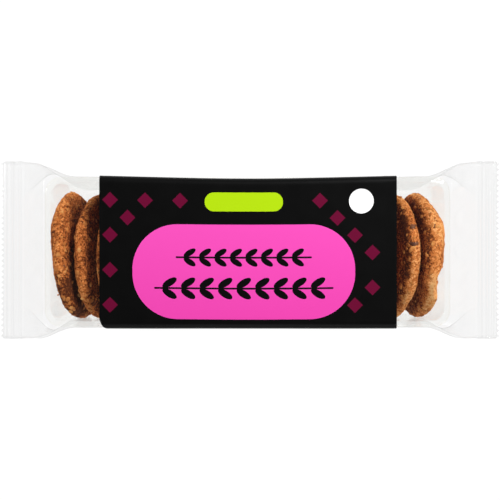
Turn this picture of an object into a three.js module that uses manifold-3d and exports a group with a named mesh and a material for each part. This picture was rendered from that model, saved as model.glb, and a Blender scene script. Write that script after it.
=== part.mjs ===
// A flow-wrapped tray pack of oat and sultana cookies, lying on its base with the label up.
// The clear film is sealed round a long tray, so it is one closed body: a box with rounded edges over
// the tray, tucked gussets where the film closes behind the tray's ends, and at each end a flat
// crimped seal with a zigzag cut edge. A printed label goes over the top and down one long side.
// Millimetres. +X runs along the pack, +Z is up, and the origin is at the middle of the base.

import * as THREE from "three";
import { mergeVertices } from "three/addons/utils/BufferGeometryUtils.js";
import Module from "manifold-3d";

const wasm = await Module();
wasm.setup();
const { clamp, lerp, smoothstep } = THREE.MathUtils;

// Driving dimensions
const PACK_LENGTH = 251.5; // over the cut edges of both end seals
const PACK_HEIGHT = 66;
const SEAL_WIDTH = 89.2;
const SEAL_DEPTH = 11; // crimped band, along X
const SEAL_HEIGHT = 33; // of the end seals above the base
const RIM_WIDTH = 74; // over the tray's rim
const RIM_LEFT = 100.4; // from the pack's middle to the rim's left end
const RIM_RIGHT = 98;
const BASE_WIDTH = 65;
const TRAY_SHIFT = -0.9; // the tray sits a little off the seals' middle line, along Y
const SIDE_BOW = 1.7; // the +Y side is pulled in by this much halfway along
const TOP_RADIUS = 2.5; // where the film is taut over the rim
const SHOULDER_RADIUS = 10; // of the top edge at the rim's ends, where the film leaves the tray
const BASE_RADIUS = 9;
const END_WALL_LEAN = THREE.MathUtils.degToRad(13.5);
const LABEL_LEFT = -73.1;
const LABEL_RIGHT = 71.2;

// The seals: a corrugated band, two plies at the middle and four at the tucked sides
const SEAL_THICKNESS = 1;
const SEAL_START = PACK_LENGTH / 2 - SEAL_DEPTH;
const RIDGE_PITCH = 2.2;
const RIDGE_HEIGHT = 0.3;
const SEAL_EDGE_RADIUS = 0.3;
const SEAL_LEAD = 1; // the film is nearly flat this far before the seal
const TOOTH_PITCH = 2.7;
const TOOTH_DEPTH = 1;
const BLADE_DEPTH = 6; // along Z, more than the seal's thickness

// The gusset: the side film folds inwards behind the tray's end
const GUSSET_DEPTH = 15.5;
const GUSSET_LEAD = 6; // it starts this far before the rim's end
const FLARE_LEAD = 13; // the top panel starts to widen this far before the rim's right end
const FLARE_RUN = 7; // and is fully flared this far past it
const FLARE_EARLY = 2.3; // at the left end both places lie this much nearer to the pack's middle
const FLARE_WAIST = 1.7; // how much narrower than the seal the flared panel is at the rim
const BASE_FLARE_STOP = 5; // the bottom panel has the seal's width this far before the seal

// The back seam: a fin folded flat, lying in a shallow groove along the base
const GROOVE_HALF = 9;
const GROOVE_SLOPE = 0.8;
const GROOVE_DEPTH = 0.9;
const SEAM_HALF = 5;
const SEAM_THICKNESS = 0.5;

// The label
const LABEL_GAP = 0.25; // over the film
const LABEL_THICKNESS = 0.35;
const LABEL_CORNER = 8;
const LABEL_SMALL_CORNER = 2;
const LABEL_FRONT_DROP = 0.8; // how far it reaches down the -Y side, below the rounded edge
const LABEL_BACK_DROP = 42; // the same on the +Y side
const LABEL_CORNER_REACH = 3; // its front corner is cut this far in on the top face

const CORNER_STEPS = 4;
const LABEL_FRONT_STEPS = 7;
const LABEL_CORNER_SHARES = [0.02, 0.12, 0.3, 0.6, 1]; // stations round a corner, as shares of its radius
const BODY_STATIONS = [-80, -55, -28, 0, 28, 55, 80];
const BASE_STEPS = 3; // from where the base rises to the rim's end
const END_STEPS = 7; // from the rim's end to the seal
const MERGE_DISTANCE = 1e-4;

const rimEnd = (x) => (x < 0 ? RIM_LEFT : RIM_RIGHT);
const baseEnd = (x) => rimEnd(x) - PACK_HEIGHT * Math.tan(END_WALL_LEAN);

// 0 over the tray and 1 at the seal, for the top panel and for the bottom panel
function topShare(x) {
  return clamp((Math.abs(x) - rimEnd(x)) / (SEAL_START - rimEnd(x)), 0, 1);
}

function baseShare(x) {
  return clamp((Math.abs(x) - baseEnd(x)) / (SEAL_START - baseEnd(x)), 0, 1);
}

// How much narrower the pack is here than at the label's ends, all of it on the +Y side
function bow(x) {
  return SIDE_BOW * (1 - smoothstep(Math.abs(x), 0, RIM_RIGHT));
}

// The film's rise and fall along the crimped band
function ridge(x) {
  const along = Math.abs(x) - SEAL_START;
  if (along <= 0) return 0;
  return Math.round(along / (RIDGE_PITCH / 2)) % 2 ? RIDGE_HEIGHT : 0;
}

// The sizes of the cross-section at a station along X
function sectionSizes(x) {
  const past = Math.abs(x);
  const rim = rimEnd(x);
  const share = topShare(x);
  const low = baseShare(x);
  const waist = x < 0 ? rim - FLARE_EARLY : rim;
  const flare = smoothstep(past, waist - FLARE_LEAD, waist + FLARE_RUN);
  const shoulder = smoothstep(past, rim - FLARE_LEAD, rim);
  const edgeRadius = lerp(TOP_RADIUS, SHOULDER_RADIUS, shoulder);
  const baseFlare = smoothstep(past, baseEnd(x), SEAL_START - BASE_FLARE_STOP);
  const inSeal = past >= SEAL_START;
  const halfSeal = SEAL_THICKNESS / 2;
  const flaredHalf = SEAL_WIDTH / 2 - FLARE_WAIST * (1 - share);
  return {
    centre: (TRAY_SHIFT - bow(x) / 2) * (1 - share),
    top: lerp(PACK_HEIGHT, SEAL_HEIGHT + halfSeal, share) + ridge(x),
    bottom: lerp(0, SEAL_HEIGHT - halfSeal, low) + ridge(x),
    topHalf: lerp((RIM_WIDTH - bow(x)) / 2, flaredHalf, flare),
    baseHalf: lerp(BASE_WIDTH / 2, SEAL_WIDTH / 2, baseFlare),
    topRadius: lerp(edgeRadius, SEAL_EDGE_RADIUS, share),
    baseRadius: lerp(BASE_RADIUS, SEAL_EDGE_RADIUS, low),
    gusset: inSeal ? 0 : GUSSET_DEPTH * smoothstep(past, rim - GUSSET_LEAD, SEAL_START),
    seam: 1 - low,
  };
}

// The half of the cross-section with y above the centre, from the top edge round to the seam, as [y, z]
function halfSection(s) {
  const points = [];
  const corner = (y, z, radius, from) => {
    for (let i = 0; i <= CORNER_STEPS; i++) {
      const turn = from - (i / CORNER_STEPS) * (Math.PI / 2);
      points.push([y + radius * Math.cos(turn), z + radius * Math.sin(turn)]);
    }
  };
  corner(s.topHalf - s.topRadius, s.top - s.topRadius, s.topRadius, Math.PI / 2);
  points.push([foldHalf(s) - s.gusset, foldHeight(s)]);
  corner(s.baseHalf - s.baseRadius, s.bottom + s.baseRadius, s.baseRadius, 0);
  const roof = s.bottom + GROOVE_DEPTH * s.seam;
  points.push([GROOVE_HALF, s.bottom]);
  points.push([GROOVE_HALF - GROOVE_SLOPE, roof]);
  points.push([SEAM_HALF, roof]);
  points.push([SEAM_HALF - GROOVE_SLOPE / 2, roof - SEAM_THICKNESS * s.seam]);
  return points;
}

// Where the side wall's middle line lies before the gusset pulls it in
function foldHeight(s) {
  return (s.top + s.bottom) / 2;
}

function foldHalf(s) {
  const wallTop = s.top - s.topRadius;
  return s.topHalf - wallLean(s) * (wallTop - foldHeight(s));
}

// How far the side wall comes in for each millimetre down
function wallLean(s) {
  return (s.topHalf - s.baseHalf) / (s.top - s.topRadius - s.bottom - s.baseRadius);
}

// One ring of points round the film at a station, anticlockwise when seen from the +X end
function filmRing(x) {
  const s = sectionSizes(x);
  const half = halfSection(s);
  const right = half.map(([y, z]) => new THREE.Vector3(x, s.centre + y, z));
  const left = half.map(([y, z]) => new THREE.Vector3(x, s.centre - y, z));
  return [...right.reverse(), ...left];
}

function capTriangles(ring) {
  const flat = ring.map((p) => new THREE.Vector2(p.y, p.z));
  return THREE.ShapeUtils.triangulateShape(flat, []);
}

// A closed body through such rings of equal count that follow each other along +X, with flat ends
function loft(rings) {
  const count = rings[0].length;
  const positions = rings.flat().flatMap((p) => [p.x, p.y, p.z]);
  const faces = [];
  for (let r = 0; r + 1 < rings.length; r++) {
    for (let i = 0; i < count; i++) {
      const a = r * count + i;
      const b = r * count + ((i + 1) % count);
      faces.push(a, b, a + count, b, b + count, a + count);
    }
  }
  const last = (rings.length - 1) * count;
  for (const [a, b, c] of capTriangles(rings[0])) faces.push(a, c, b);
  for (const [a, b, c] of capTriangles(rings.at(-1))) faces.push(last + a, last + b, last + c);
  const geometry = new THREE.BufferGeometry();
  geometry.setAttribute("position", new THREE.Float32BufferAttribute(positions, 3));
  geometry.setIndex(faces);
  return geometry;
}

// A closed geometry as a solid, and a solid as a geometry
function solidOf(geometry) {
  const bare = geometry.clone();
  bare.deleteAttribute("normal");
  bare.deleteAttribute("uv");
  const merged = mergeVertices(bare, MERGE_DISTANCE);
  return new wasm.Manifold(
    new wasm.Mesh({
      numProp: 3,
      vertProperties: new Float32Array(merged.attributes.position.array),
      triVerts: new Uint32Array(merged.index.array),
    }),
  );
}

function geometryOf(solid) {
  const mesh = solid.getMesh();
  const geometry = new THREE.BufferGeometry();
  geometry.setAttribute("position", new THREE.BufferAttribute(mesh.vertProperties, 3));
  geometry.setIndex(new THREE.BufferAttribute(mesh.triVerts, 1));
  const faceted = geometry.toNonIndexed();
  faceted.computeVertexNormals();
  return faceted;
}

// The stations of the film along one end, from the tray to the cut edge
function endStations(side) {
  const rim = side < 0 ? RIM_LEFT : RIM_RIGHT;
  const slopeStart = baseEnd(side);
  const stations = [slopeStart];
  for (let i = 1; i < BASE_STEPS; i++) stations.push(lerp(slopeStart, rim, i / BASE_STEPS));
  for (let i = 0; i < END_STEPS; i++) stations.push(lerp(rim, SEAL_START, i / END_STEPS));
  stations.push(SEAL_START - SEAL_LEAD);
  for (let along = 0; along < SEAL_DEPTH; along += RIDGE_PITCH / 2) {
    stations.push(SEAL_START + along);
  }
  stations.push(PACK_LENGTH / 2);
  return stations.map((x) => side * x);
}

// What the zigzag blade takes off the +X end
function zigzagOffcut() {
  const outline = new THREE.Shape();
  const reach = SEAL_WIDTH / 2 + TOOTH_PITCH;
  const tip = PACK_LENGTH / 2;
  outline.moveTo(tip + TOOTH_PITCH, -reach);
  outline.lineTo(tip + TOOTH_PITCH, reach);
  const steps = Math.round((2 * reach) / (TOOTH_PITCH / 2));
  for (let i = 0; i <= steps; i++) {
    outline.lineTo(tip - (i % 2 ? 0 : TOOTH_DEPTH), lerp(reach, -reach, i / steps));
  }
  const cutter = new THREE.ExtrudeGeometry(outline, { depth: BLADE_DEPTH, bevelEnabled: false });
  return cutter.translate(0, 0, SEAL_HEIGHT - BLADE_DEPTH / 2);
}

function filmGeometry() {
  const left = endStations(-1).reverse();
  const stations = [...left, ...BODY_STATIONS, ...endStations(1)];
  const bag = solidOf(loft(stations.map(filmRing)));
  const rightCut = solidOf(zigzagOffcut());
  const leftCut = solidOf(zigzagOffcut().rotateZ(Math.PI));
  return geometryOf(bag.subtract(rightCut).subtract(leftCut));
}

// A point of the film's outside at a distance along the section from the top's middle, moved out by offset
function wrapPoint(x, along, offset) {
  const s = sectionSizes(x);
  const side = Math.sign(along);
  const flat = s.topHalf - s.topRadius;
  const past = Math.abs(along) - flat;
  const bend = (s.topRadius * Math.PI) / 2;
  if (past <= 0) return new THREE.Vector3(x, s.centre + along, s.top + offset);
  const radius = s.topRadius + offset;
  if (past <= bend) {
    const turn = past / s.topRadius;
    const y = s.centre + side * (flat + radius * Math.sin(turn));
    return new THREE.Vector3(x, y, s.top - s.topRadius + radius * Math.cos(turn));
  }
  const drop = past - bend;
  const y = s.centre + side * (s.topHalf + offset - wallLean(s) * drop);
  return new THREE.Vector3(x, y, s.top - s.topRadius - drop);
}

// How much a rounded corner of this radius shortens the label at a distance from its end
function cornerCut(radius, distance) {
  if (distance >= radius) return 0;
  return radius - Math.sqrt(radius ** 2 - (radius - distance) ** 2);
}

function labelRing(x) {
  const s = sectionSizes(x);
  const flat = s.topHalf - s.topRadius;
  const bend = (s.topRadius * Math.PI) / 2;
  const fromLeft = x - LABEL_LEFT;
  const fromRight = LABEL_RIGHT - x;
  const frontCut =
    cornerCut(LABEL_CORNER, fromLeft) + cornerCut(LABEL_SMALL_CORNER, fromRight);
  const backCut = cornerCut(LABEL_CORNER, fromLeft) + cornerCut(LABEL_CORNER, fromRight);
  const front = -(flat + bend + LABEL_FRONT_DROP - frontCut);
  const back = flat + bend + LABEL_BACK_DROP - backCut;
  const path = [];
  const onTop = -(flat - LABEL_CORNER_REACH);
  for (let i = 0; i <= LABEL_FRONT_STEPS; i++) path.push(lerp(front, onTop, i / LABEL_FRONT_STEPS));
  for (let i = 0; i <= CORNER_STEPS; i++) path.push(flat + (bend * i) / CORNER_STEPS);
  path.push(back);
  const inner = path.map((along) => wrapPoint(x, along, LABEL_GAP));
  const outer = path.map((along) => wrapPoint(x, along, LABEL_GAP + LABEL_THICKNESS));
  return [...inner, ...outer.reverse()];
}

function labelGeometry() {
  const corner = LABEL_CORNER_SHARES.map((share) => share * LABEL_CORNER);
  const stations = [
    ...corner.map((distance) => LABEL_LEFT + distance),
    ...BODY_STATIONS.filter((x) => Math.abs(x) < LABEL_RIGHT - LABEL_CORNER),
    ...corner.map((distance) => LABEL_RIGHT - distance).reverse(),
  ];
  return loft(stations.map(labelRing));
}

// Clear film and black printed label
function clearFilm() {
  return new THREE.MeshStandardMaterial({
    color: "#f3f3f2",
    roughness: 0.15,
    metalness: 0,
    transparent: true,
    opacity: 0.4,
  });
}

function printedLabel() {
  return new THREE.MeshStandardMaterial({ color: "#100f0f", roughness: 0.35, metalness: 0 });
}

function named(name, geometry, material) {
  const mesh = new THREE.Mesh(geometry, material);
  mesh.name = name;
  return mesh;
}

const pack = new THREE.Group();
pack.add(named("film_wrap", filmGeometry(), clearFilm()));
pack.add(named("label", labelGeometry(), printedLabel()));

export default pack;
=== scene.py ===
import random
from math import copysign, cos, pi, radians, sin, sqrt, tan

import bmesh
import bpy
from mathutils import Matrix, Vector, noise


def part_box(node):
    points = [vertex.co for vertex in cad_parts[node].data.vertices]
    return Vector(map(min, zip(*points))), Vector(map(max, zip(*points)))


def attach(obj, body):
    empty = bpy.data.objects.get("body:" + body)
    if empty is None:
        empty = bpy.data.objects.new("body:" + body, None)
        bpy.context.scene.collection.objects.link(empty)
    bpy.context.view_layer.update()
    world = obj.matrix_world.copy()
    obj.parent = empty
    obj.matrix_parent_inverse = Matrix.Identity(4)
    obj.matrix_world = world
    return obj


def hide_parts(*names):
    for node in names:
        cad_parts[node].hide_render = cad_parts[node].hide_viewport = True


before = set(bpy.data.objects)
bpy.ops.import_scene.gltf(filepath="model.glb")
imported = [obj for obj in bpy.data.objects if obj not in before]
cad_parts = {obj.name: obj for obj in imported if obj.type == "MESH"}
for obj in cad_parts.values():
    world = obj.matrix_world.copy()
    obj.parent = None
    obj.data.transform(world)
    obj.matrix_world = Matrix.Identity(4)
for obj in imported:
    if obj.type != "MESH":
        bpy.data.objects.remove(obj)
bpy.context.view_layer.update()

# The view. A product photographer's camera looks straight down on the pack from above its middle,
# with a long lens, so that the sides that taper towards the base stay out of sight.

MM = 0.001
PACK_LOW, PACK_HIGH = (Vector(corner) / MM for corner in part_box("film_wrap"))
CAMERA_ABOVE = 800  # from the pack's top face to the lens
VIEW_HALF = 121.25  # what half of the picture's width covers on that face
SENSOR = 36  # width of the camera's sensor

camera = bpy.data.cameras.new("camera")
camera.sensor_width = SENSOR
camera.lens = SENSOR / 2 * CAMERA_ABOVE / VIEW_HALF
camera_stand = bpy.data.objects.new("camera", camera)
camera_stand.location = Vector((0, 0, PACK_HIGH.z + CAMERA_ABOVE)) * MM
bpy.context.collection.objects.link(camera_stand)
scene = bpy.context.scene
scene.camera = camera_stand

# The studio. A light table of opal acrylic, so that shadows are faint, inside a white light tent
# that is open at the top. The label's satin print mirrors the dark opening to the lens. Under the
# pack the table's glow is dimmed, as a painted shadow.

TABLE_SIZE = 6000
TABLE_COLORS = "#1e1e1e", "#222222"  # of the sheet itself, which is lit from below as well
TABLE_GLOW = 1.01
TABLE_MOTTLE = 40
TABLE_DROP = 0.3  # from the pack's base to the sheet, so that the two never share a plane
SHADOW_PATCH_HALF = (68, 20)  # of the painted shadow under the pack, where the glow is dimmed; it also keeps the glow out from between the cookies
SHADOW_PATCH_FADE = 8
SHADOW_PATCH_GLOW = 0.16  # glow left in the painted shadow
TENT_GLOW = [
    # sine of the elevation, brightness of the tent's cloth there
    (0.02, 0.62),
    (0.14, 0.34),
    (0.7, 0.24),
    (0.93, 0.03),
]
SOFTBOXES = [
    # place, width, watts
    ((430, 420, 640), 300, 8.4),
    ((-600, 260, 560), 340, 2.9),
    ((60, -640, 520), 420, 1.2),
]


def srgb(code):
    """A hex colour as seen on a screen, as linear light."""
    parts = [int(code[i:i + 2], 16) / 255 for i in (1, 3, 5)]
    return [p / 12.92 if p <= 0.04045 else ((p + 0.055) / 1.055) ** 2.4 for p in parts] + [1]


def add(tree, kind, sockets=None, **settings):
    """A new shader node. A socket gets a value, or a link from an output or a node's first one."""
    node = tree.nodes.new("ShaderNode" + kind)
    for name, value in settings.items():
        setattr(node, name, value)
    for name, source in (sockets or {}).items():
        if isinstance(source, bpy.types.Node):
            source = next(output for output in source.outputs if output.enabled)
        if isinstance(source, bpy.types.NodeSocket):
            tree.links.new(source, node.inputs[name])
        else:
            node.inputs[name].default_value = source
    return node


def new_material(name):
    """An empty material, and its tree with only the output in it."""
    material = bpy.data.materials.new(name)
    material.use_nodes = True
    material.node_tree.nodes.clear()
    return material, material.node_tree


def set_surface(tree, shader):
    add(tree, "OutputMaterial", {"Surface": shader})


def set_stops(ramp, stops):
    """Gives a colour ramp its stops, each a position and a colour in linear light."""
    elements = ramp.color_ramp.elements
    for element, stop in zip((elements[0], elements[1]), (stops[0], stops[-1])):
        element.position, element.color = stop
    for position, colour in stops[1:-1]:
        elements.new(position).color = colour


def per_metre(size):
    """The scale of a pattern whose features are this many millimetres apart."""
    return 1 / (size * MM)


def to_object(name, bm, material):
    """A mesh that was modelled in millimetres, as an object in metres."""
    bmesh.ops.scale(bm, vec=(MM, MM, MM), verts=bm.verts)
    for face in bm.faces:
        face.smooth = True
    mesh = bpy.data.meshes.new(name)
    bm.to_mesh(mesh)
    bm.free()
    mesh.materials.append(material)
    piece = bpy.data.objects.new(name, mesh)
    bpy.context.collection.objects.link(piece)
    return piece


def opal_acrylic():
    """Opal acrylic: hardly a mirror, and an even glow round the painted shadow under the pack."""
    material, tree = new_material("opal_acrylic_light_table")
    place = add(tree, "TexCoord").outputs["Object"]
    mottle = add(tree, "TexNoise", {"Vector": place, "Scale": per_metre(TABLE_MOTTLE)})
    sheet = add(tree, "Mix", {
        "Factor": mottle, "A": srgb(TABLE_COLORS[0]), "B": srgb(TABLE_COLORS[1]),
    }, data_type="RGBA")
    # painted shadow: the glow dims in a patch under the pack
    size = add(tree, "VectorMath", {0: place}, operation="ABSOLUTE")
    past = add(tree, "VectorMath", {
        0: size,
        1: (SHADOW_PATCH_HALF[0] * MM, SHADOW_PATCH_HALF[1] * MM, 0),
    }, operation="SUBTRACT")
    parts = add(tree, "SeparateXYZ", {"Vector": past})
    reach = add(tree, "Math", {0: parts.outputs["X"], 1: parts.outputs["Y"]}, operation="MAXIMUM")
    glow = add(tree, "MapRange", {
        "Value": reach,
        "From Min": 0,
        "From Max": SHADOW_PATCH_FADE * MM,
        "To Min": SHADOW_PATCH_GLOW,
        "To Max": TABLE_GLOW,
    })
    shader = add(tree, "BsdfPrincipled", {
        "Base Color": sheet,
        "Roughness": 0.8,
        "Specular IOR Level": 0.1,
        "Emission Color": srgb("#ffffff"),
        "Emission Strength": glow,
    })
    set_surface(tree, shader)
    return material


table_mesh = bmesh.new()
bmesh.ops.create_grid(table_mesh, x_segments=8, y_segments=8, size=TABLE_SIZE / 2)
bmesh.ops.translate(table_mesh, vec=(0, 0, -TABLE_DROP), verts=table_mesh.verts)
table = to_object("light_table", table_mesh, opal_acrylic())

tent = bpy.data.worlds.new("light_tent")
tent.use_nodes = True
sky = tent.node_tree
sky.nodes.clear()
upward = add(sky, "SeparateXYZ", {"Vector": add(sky, "TexCoord").outputs["Generated"]})
glow = add(sky, "ValToRGB", {"Fac": upward.outputs["Z"]})
glow.color_ramp.interpolation = "EASE"
set_stops(glow, [(height, (bright, bright, bright, 1)) for height, bright in TENT_GLOW])
cloth = add(sky, "Background", {"Color": glow})
add(sky, "OutputWorld", {"Surface": cloth})
scene.world = tent

for number, (place, width, watts) in enumerate(SOFTBOXES):
    lamp = bpy.data.lights.new(f"softbox_{number}", "AREA")
    lamp.shape = "SQUARE"
    lamp.size = width * MM
    lamp.energy = watts
    softbox = bpy.data.objects.new(lamp.name, lamp)
    softbox.location = Vector(place) * MM
    softbox.rotation_euler = (-softbox.location).to_track_quat("-Z", "Y").to_euler()
    bpy.context.collection.objects.link(softbox)

scene.view_settings.view_transform = "Standard"
scene.view_settings.look = "None"
scene.cycles.transparent_max_bounces = 24

# The wrapper. Clear polypropylene film, drawn off a roll as a tube round the tray, sealed along its
# back, and crimped and cut with a zigzag blade at each end. It is taut over the tray's rim, and
# behind the tray's ends its sides are tucked in.

SEAL_DEPTH = 11
SEAL_PLIES = 0.45  # thickness of the crimped band
CRIMP_PITCH = 1.7
CRIMP_HEIGHT = 0.28
TOOTH_DEPTH = 1.6
CUT_EDGE = 0.1  # the plies come together this far before the cut
TEETH_ON_HALF = 33  # straight edges of the zigzag, from the middle to the side
TEETH_CLEAR = 0.2  # between the last crimp and the teeth
PLY_ROUND = 0.9  # radius of the plies' edges, as a share of half their thickness
RIM_WIDTH = 74
RIM_LEFT = 100.4
RIM_RIGHT = 98
TRAY_SHIFT = -0.9
SIDE_BOW = 1.7
BASE_WIDTH = 65
EDGE_RADIUS = 2.5
SHOULDER_RADIUS = 10
BASE_RADIUS = 9
END_LEAN = tan(radians(13.5))
TUCK_DEPTH = 15.5
TUCK_LEAD = 6
FLARE_LEAD = 13
FLARE_RUN = 7
FLARE_EARLY = 2.3  # at the left end
FLARE_WAIST = 1.7
BASE_FLARE_STOP = 5
GROOVE_HALF = 9
GROOVE_DEPTH = 0.9
GROOVE_SHOULDER = 2
BODY_STATIONS = 44
ARC_STEPS = 6
WALL_STEPS = 8
FILM_SKIN = 0.15  # the film lies this far inside the pack's outer size
SLACK = 0.35  # how far the film may sink on the pack's body, where nothing holds it
SLACK_SIZE = 26
PUCKER = 0.75  # depth of the slopes' puckers
CREASE = 0.3
SAME_PLACE = 1e-4  # corners closer than this are one

seal_width = PACK_HIGH.y - PACK_LOW.y
pack_half = (PACK_HIGH.x - PACK_LOW.x) / 2
pack_top = PACK_HIGH.z - FILM_SKIN
seal_start = pack_half - SEAL_DEPTH
seal_height = PACK_HIGH.z / 2


def mix(a, b, share):
    return a + (b - a) * share


def ease(value, start, end):
    """0 before start, 1 after end, and smooth between."""
    share = min(max((value - start) / (end - start), 0), 1)
    return share * share * (3 - 2 * share)


def rim_end(x):
    return RIM_LEFT if x < 0 else RIM_RIGHT


def bow(x):
    return SIDE_BOW * (1 - ease(abs(x), 0, RIM_RIGHT))


def slope_share(x, start):
    """How far along the film's slope a station is, from 0 where it leaves the tray to 1 at the seal."""
    return min(max((abs(x) - start) / (seal_start - start), 0), 1)


class Station:
    """The sizes of the wrapper's cross-section at a place along the pack."""

    def __init__(self, x):
        past, rim = abs(x), rim_end(x)
        base_end = rim - PACK_HIGH.z * END_LEAN
        top_share = slope_share(x, rim)
        low_share = slope_share(x, base_end)
        flared = seal_width / 2 - FLARE_WAIST * (1 - top_share)
        edge = mix(EDGE_RADIUS, SHOULDER_RADIUS, ease(past, rim - FLARE_LEAD, rim))
        at_cut = past == pack_half
        half_plies = 0 if at_cut else SEAL_PLIES / 2
        crimp = 0
        if past > seal_start and not at_cut:
            crimp = CRIMP_HEIGHT * sin((past - seal_start) * 2 * pi / CRIMP_PITCH)
        self.centre = (TRAY_SHIFT - bow(x) / 2) * (1 - top_share)
        self.top = mix(pack_top, seal_height + half_plies, top_share) + crimp
        self.bottom = mix(FILM_SKIN, seal_height - half_plies, low_share) + crimp
        waist = rim - FLARE_EARLY if x < 0 else rim
        flare = ease(past, waist - FLARE_LEAD, waist + FLARE_RUN)
        self.top_half = mix((RIM_WIDTH - bow(x)) / 2, flared, flare)
        base_flare = ease(past, base_end, seal_start - BASE_FLARE_STOP)
        self.base_half = mix(BASE_WIDTH / 2, seal_width / 2, base_flare)
        self.edge = mix(edge, half_plies * PLY_ROUND, top_share)
        self.flat = self.top_half - self.edge
        self.bend = self.edge * pi / 2
        self.base_edge = mix(BASE_RADIUS, half_plies * PLY_ROUND, low_share)
        self.tuck = TUCK_DEPTH * ease(past, rim - TUCK_LEAD, seal_start)
        self.groove = GROOVE_DEPTH * (1 - low_share)
        self.fold = (self.top + self.bottom) / 2
        wall_top = self.top - self.edge
        wall_foot = self.bottom + self.base_edge
        height = max(wall_top - wall_foot, 1e-6)
        self.lean = (self.top_half - self.base_half) / height
        self.fold_half = self.top_half - self.lean * (wall_top - self.fold) - self.tuck


def spread(start, end, steps):
    """Points from start to end, without the last."""
    return [tuple(mix(a, b, i / steps) for a, b in zip(start, end)) for i in range(steps)]


def quarter(y, z, radius, start):
    """Points round a quarter circle, without the last, turning from start towards the base."""
    turns = [start - i / ARC_STEPS * pi / 2 for i in range(ARC_STEPS)]
    return [(y + radius * cos(turn), z + radius * sin(turn)) for turn in turns]


def half_section(s):
    """The section from the middle of the top round the +Y side to the middle of the base, as (y, z)."""
    flat = (s.flat, s.top)
    side = (s.top_half, s.top - s.edge)
    tuck = (s.fold_half, s.fold)
    foot = (s.base_half, s.bottom + s.base_edge)
    sole = (s.base_half - s.base_edge, s.bottom)
    points = spread((0, s.top), flat, TEETH_ON_HALF)
    points += quarter(flat[0], side[1], s.edge, pi / 2)
    points += spread(side, tuck, WALL_STEPS) + spread(tuck, foot, WALL_STEPS)
    points += quarter(sole[0], foot[1], s.base_edge, 0)
    points += spread(sole, (0, s.bottom), TEETH_ON_HALF) + [(0, s.bottom)]
    return points


def stations_of_end(side):
    """Stations from where the film leaves the tray's side walls to the cut, closest in the seal."""
    rim = rim_end(side)
    teeth_start = pack_half - TOOTH_DEPTH - TEETH_CLEAR
    stretches = [
        # from, to, number of stations
        (rim - 20, rim - 3, 12),
        (rim - 3, rim + 2, 10),
        (rim + 2, seal_start, 20),
        (seal_start, teeth_start, 46),
    ]
    stations = []
    for start, end, steps in stretches:
        stations += [mix(start, end, i / steps) for i in range(steps)]
    return [side * x for x in stations + [teeth_start, pack_half - CUT_EDGE, pack_half]]


def film_stations():
    left, right = stations_of_end(-1), stations_of_end(1)
    body = [mix(left[0], right[0], i / BODY_STATIONS) for i in range(1, BODY_STATIONS)]
    return left[::-1] + body + right


def grid_sheet(columns, rows, place):
    """A sheet of faces whose corner in column i and row j lies at place(i, j)."""
    bm = bmesh.new()
    bmesh.ops.create_grid(bm, x_segments=columns, y_segments=rows, size=1)
    for vert in bm.verts:
        i = round((vert.co.x + 1) / 2 * columns)
        j = round((vert.co.y + 1) / 2 * rows)
        vert.co = place(i, j)
    return bm


def drawn_in(co):
    """How far the taut film lies inside its outer form, by puckers and by slack between its holds."""
    share = slope_share(co.x, rim_end(co.x))
    if abs(co.x) >= seal_start:
        return 0
    on_slope = 4 * share * (1 - share)
    pulls = noise.noise(Vector((co.x * 0.035, co.y * 0.21 + co.x * 0.012, co.z * 0.02)))
    creases = 1 - abs(noise.noise(Vector((co.x * 0.05, co.y * 0.13 - co.x * 0.05, 7.3)))) * 5
    slack = noise.noise(co / SLACK_SIZE) * 0.5 + 0.5
    on_body = SLACK * slack * (1 - on_slope)
    return on_body + on_slope * (PUCKER * (pulls * 0.5 + 0.5) + CREASE * max(creases, 0))


def zigzag(y):
    """How far the blade cuts into the seal here, as a share of the teeth's depth."""
    across = abs(y) * 2 / seal_width * TEETH_ON_HALF
    return abs((across + 1) % 2 - 1)


def wrapper_mesh():
    stations = film_stations()
    shapes = [Station(x) for x in stations]
    sections = [half_section(shape) for shape in shapes]
    half = len(sections[0]) - 1

    def place(i, j):
        x, shape = stations[i], shapes[i]
        side = 1 if j <= half else -1
        k = j if j <= half else 2 * half - j
        y, z = sections[i][k]
        if abs(x) >= pack_half - CUT_EDGE:
            x -= copysign(TOOTH_DEPTH, x) * zigzag(y)
        if k > half - TEETH_ON_HALF and abs(y) < GROOVE_HALF:
            z += shape.groove * ease(GROOVE_HALF - abs(y), 0, GROOVE_SHOULDER)
        return Vector((x, shape.centre + side * y, z))

    bm = grid_sheet(len(stations) - 1, 2 * half, place)
    pressed = bm.verts.layers.float.new("pressed")
    bm.verts.index_update()
    wall = TEETH_ON_HALF + ARC_STEPS
    for vert in bm.verts:
        j, i = divmod(vert.index, len(stations))
        k = min(j, 2 * half - j)
        if wall < k < wall + 2 * WALL_STEPS:
            vert[pressed] = shapes[i].tuck / TUCK_DEPTH
    bmesh.ops.remove_doubles(bm, verts=bm.verts, dist=SAME_PLACE)
    bm.normal_update()
    moves = [(vert, vert.normal * -drawn_in(vert.co)) for vert in bm.verts]
    for vert, move in moves:
        vert.co += move
    return bm


FILM_TINT = "#fbfbfb"
FILM_EDGE_TINT = "#e4e4e3"  # where it is seen along its slope
FILM_HAZE = 0.003
FILM_GLOSS = 0.09  # roughness
FILM_MIRROR = 0.03  # what it mirrors when seen squarely
FRESNEL_RISE = 0.25  # how much more it mirrors when seen along its face
FRESNEL_POWER = 5
SLANT_POWER = 5.5  # how late the edge tint sets in as the face turns away
STRIATION = 1.4  # between the fine marks that the rollers leave
MARK_STRETCH = 0.25  # of their scale along the roll, which draws them out
RIPPLE = 0.12  # strength of their relief
RIB_SPACING = 1.1  # between the lines of painted shade in the crimped band, which stand in for its ridges and are never quite even
RIB_NOISE = 0.4, 0.6  # the part of the noise that turns a line from bare to tinted
RIB_PAINTED_SHADE = 0.1


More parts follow.
